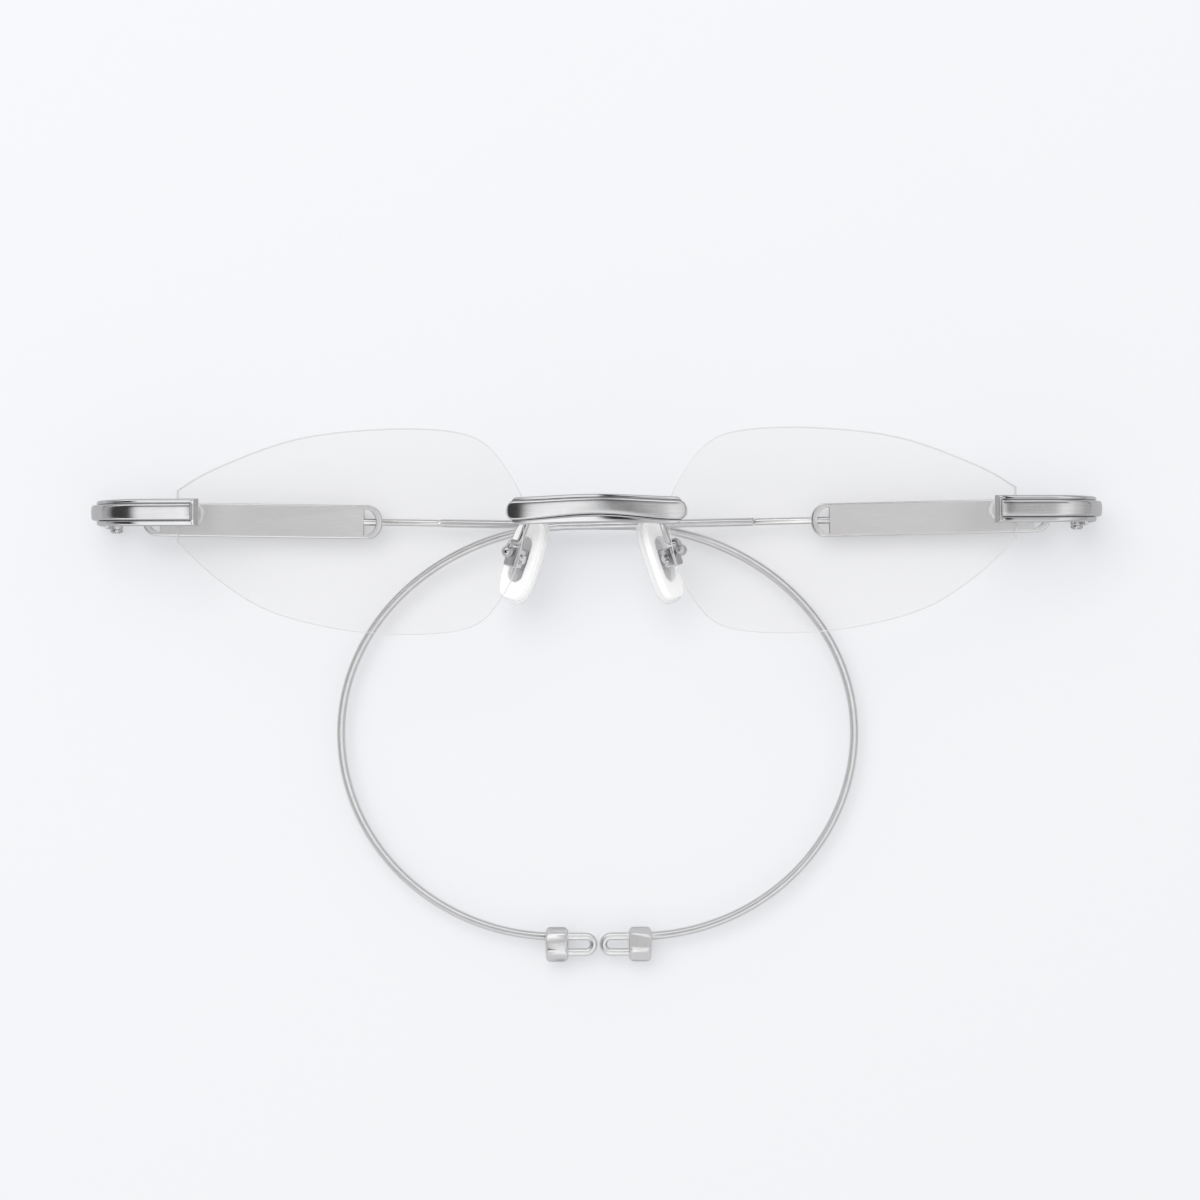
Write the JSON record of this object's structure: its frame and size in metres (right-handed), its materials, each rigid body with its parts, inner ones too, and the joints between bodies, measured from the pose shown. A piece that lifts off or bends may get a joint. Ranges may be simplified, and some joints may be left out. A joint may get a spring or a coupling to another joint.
{
  "type": "rimless glasses",
  "caption": "Rimless glasses with leaf-shaped clear lenses, stepped metal bridge and endpieces, flat windowed temples and wound cable ear hooks, folded.",
  "frame": {"origin": "middle of the whole outline, on the surface that the folded glasses lie on", "axes": "+X across the face towards the picture's right, +Y towards the brow, +Z the way the front faces; the temples are folded behind the lenses, towards -Z"},
  "size_m": [0.146, 0.0774, 0.0157],
  "materials": {
    "polished_metal": "bright nickel-silver plate, the raised band brushed along its length",
    "satin_metal": "fine bead-blasted satin",
    "spring_metal": "close-wound bright wire",
    "clear_lens": "clear, polished faces and matt edged rim",
    "clear_plastic": "clear moulded",
    "clear_silicone": "clear soft moulded"
  },
  "bodies": {
    "front": {"bridge": "polished_metal", "lens_left": "clear_lens", "lens_right": "clear_lens", "endpiece_left": "polished_metal", "endpiece_right": "polished_metal", "front_hinge_left": "satin_metal", "front_hinge_right": "satin_metal", "hinge_screw_left": "polished_metal", "hinge_screw_right": "polished_metal", "bridge_washer_left": "clear_plastic", "bridge_washer_right": "clear_plastic", "bridge_nut_left": "polished_metal", "bridge_nut_right": "polished_metal", "endpiece_washer_left": "clear_plastic", "endpiece_washer_right": "clear_plastic", "endpiece_nut_left": "polished_metal", "endpiece_nut_right": "polished_metal", "pad_arm_left": "polished_metal", "pad_arm_right": "polished_metal", "pad_box_left": "polished_metal", "pad_box_right": "polished_metal", "pad_screw_left": "polished_metal", "pad_screw_right": "polished_metal"},
    "pad_left": {"nose_pad_left": "clear_silicone", "pad_insert_left": "satin_metal"},
    "pad_right": {"nose_pad_right": "clear_silicone", "pad_insert_right": "satin_metal"},
    "temple_left": {"temple_hinge_left": "satin_metal", "temple_plate_left": "satin_metal", "temple_wire_left": "satin_metal", "cable_core_left": "spring_metal", "cable_winding_left": "spring_metal", "end_nut_left": "polished_metal", "end_loop_left": "polished_metal"},
    "temple_right": {"temple_hinge_right": "satin_metal", "temple_plate_right": "satin_metal", "temple_wire_right": "satin_metal", "cable_core_right": "spring_metal", "cable_winding_right": "spring_metal", "end_nut_right": "polished_metal", "end_loop_right": "polished_metal"}
  },
  "joints": [
    {"name": "temple_left_fold", "type": "hinge", "parent": "front", "child": "temple_left", "pos_m": [-0.0701, 0.02662, 0.003], "axis": [0, 1, 0], "range_deg": [0, 90]},
    {"name": "temple_right_fold", "type": "hinge", "parent": "front", "child": "temple_right", "pos_m": [0.0701, 0.02662, 0.003], "axis": [0, -1, 0], "range_deg": [0, 90]},
    {"name": "pad_left_rock", "type": "hinge", "parent": "front", "child": "pad_left", "pos_m": [-0.01165, 0.02022, 0.00842], "axis": [0.7286, -0.2367, 0.6428], "range_deg": [-8, 8]},
    {"name": "pad_right_rock", "type": "hinge", "parent": "front", "child": "pad_right", "pos_m": [0.0106, 0.02022, 0.00842], "axis": [-0.559, -0.1816, 0.809], "range_deg": [-8, 8]}
  ]
}
